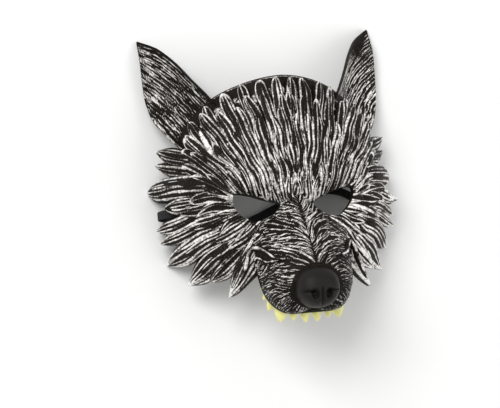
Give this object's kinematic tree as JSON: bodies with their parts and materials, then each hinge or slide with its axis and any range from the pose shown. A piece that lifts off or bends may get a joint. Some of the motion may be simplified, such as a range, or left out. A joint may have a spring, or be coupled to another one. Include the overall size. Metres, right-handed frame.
{
  "type": "half mask",
  "caption": "Wolf half mask with hollow muzzle, upright ears, layered locks of fur, eye holes, upper teeth behind the lip and a slack elastic band.",
  "frame": {"origin": "on the floor that the mask lies on, under the middle of its box", "axes": "+Z out of the face and up, +Y from the muzzle to the ears, +X to the right of someone facing the mask; the mask is the same on both sides of X = 0"},
  "size_m": [0.1814, 0.219, 0.1058],
  "materials": {
    "mask_rubber": "matt black with off-white dry-brushed fur, charcoal nose",
    "tooth_rubber": "satin pale yellow",
    "elastic": "matt black flat knitted elastic"
  },
  "bodies": {
    "root": {"mask_shell": "mask_rubber", "upper_teeth": "tooth_rubber", "elastic_band": "elastic"}
  },
  "joints": []
}
